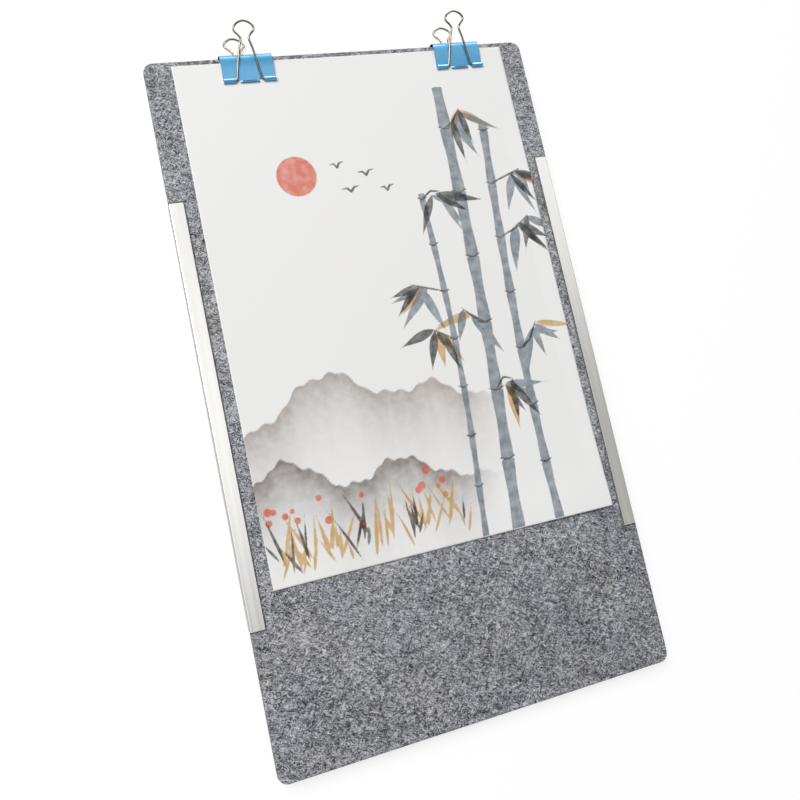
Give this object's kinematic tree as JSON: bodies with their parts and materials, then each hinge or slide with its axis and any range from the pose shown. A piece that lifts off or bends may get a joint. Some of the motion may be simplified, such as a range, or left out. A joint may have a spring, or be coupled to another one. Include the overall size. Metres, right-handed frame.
{
  "type": "folding drawing board",
  "caption": "Felt-faced wooden drawing board that folds in half on back hinges, with removable edge channels and binder clips holding a sheet of paper",
  "frame": {"origin": "middle of the lower edge of the wooden core, half way through its thickness", "axes": "+X to the right seen from the felt side, +Y along the board towards the clips, +Z out of the felt"},
  "size_m": [0.34, 0.5878, 0.0315],
  "materials": {
    "wood": "bare light plywood",
    "felt": "mottled grey pressed felt",
    "paper": "matt drawing paper",
    "channel": "satin bright aluminium",
    "clip_blue": "glossy blue enamel on spring steel",
    "wire": "bright nickel-plated wire",
    "hinge_steel": "zinc-plated steel"
  },
  "bodies": {
    "upper_half": {"upper_board": "wood", "felt_upper": "felt", "left_hinge_upper_leaf": "hinge_steel", "right_hinge_upper_leaf": "hinge_steel", "left_hinge_pin": "hinge_steel", "right_hinge_pin": "hinge_steel", "upper_screw_left_a": "hinge_steel", "upper_screw_left_b": "hinge_steel", "upper_screw_right_a": "hinge_steel", "upper_screw_right_b": "hinge_steel"},
    "lower_half": {"lower_board": "wood", "felt_lower": "felt", "left_hinge_lower_leaf": "hinge_steel", "right_hinge_lower_leaf": "hinge_steel", "lower_screw_left_a": "hinge_steel", "lower_screw_left_b": "hinge_steel", "lower_screw_right_a": "hinge_steel", "lower_screw_right_b": "hinge_steel"},
    "left_channel": {"left_strip": "channel"},
    "right_channel": {"right_strip": "channel"},
    "sheet": {"paper_sheet": "paper"},
    "left_clip": {"left_clip_body": "clip_blue"},
    "left_front_handle": {"left_clip_front_handle": "wire"},
    "left_rear_handle": {"left_clip_rear_handle": "wire"},
    "right_clip": {"right_clip_body": "clip_blue"},
    "right_front_handle": {"right_clip_front_handle": "wire"},
    "right_rear_handle": {"right_clip_rear_handle": "wire"}
  },
  "joints": [
    {"name": "board_fold", "type": "hinge", "parent": "upper_half", "child": "lower_half", "pos_m": [0, 0.28, -0.0047], "axis": [1, 0, 0], "range_deg": [0, 175]},
    {"name": "left_channel_slide", "type": "slide", "parent": "upper_half", "child": "left_channel", "axis": [-1, 0, 0], "range_m": [0, 0.03]},
    {"name": "right_channel_slide", "type": "slide", "parent": "upper_half", "child": "right_channel", "axis": [1, 0, 0], "range_m": [0, 0.03]},
    {"name": "sheet_slide", "type": "slide", "parent": "upper_half", "child": "sheet", "axis": [0, -1, 0], "range_m": [0, 0.12]},
    {"name": "left_clip_slide", "type": "slide", "parent": "upper_half", "child": "left_clip", "axis": [0, 1, 0], "range_m": [0, 0.03]},
    {"name": "left_front_handle_turn", "type": "hinge", "parent": "left_clip", "child": "left_front_handle", "pos_m": [-0.086, 0.5396, 0.0077], "axis": [1, 0, 0], "range_deg": [0, 170]},
    {"name": "left_rear_handle_turn", "type": "hinge", "parent": "left_clip", "child": "left_rear_handle", "pos_m": [-0.086, 0.5396, -0.0044], "axis": [-1, 0, 0], "range_deg": [0, 170]},
    {"name": "right_clip_slide", "type": "slide", "parent": "upper_half", "child": "right_clip", "axis": [0, 1, 0], "range_m": [0, 0.03]},
    {"name": "right_front_handle_turn", "type": "hinge", "parent": "right_clip", "child": "right_front_handle", "pos_m": [0.105, 0.5396, 0.0077], "axis": [1, 0, 0], "range_deg": [0, 170]},
    {"name": "right_rear_handle_turn", "type": "hinge", "parent": "right_clip", "child": "right_rear_handle", "pos_m": [0.105, 0.5396, -0.0044], "axis": [-1, 0, 0], "range_deg": [0, 170]}
  ]
}
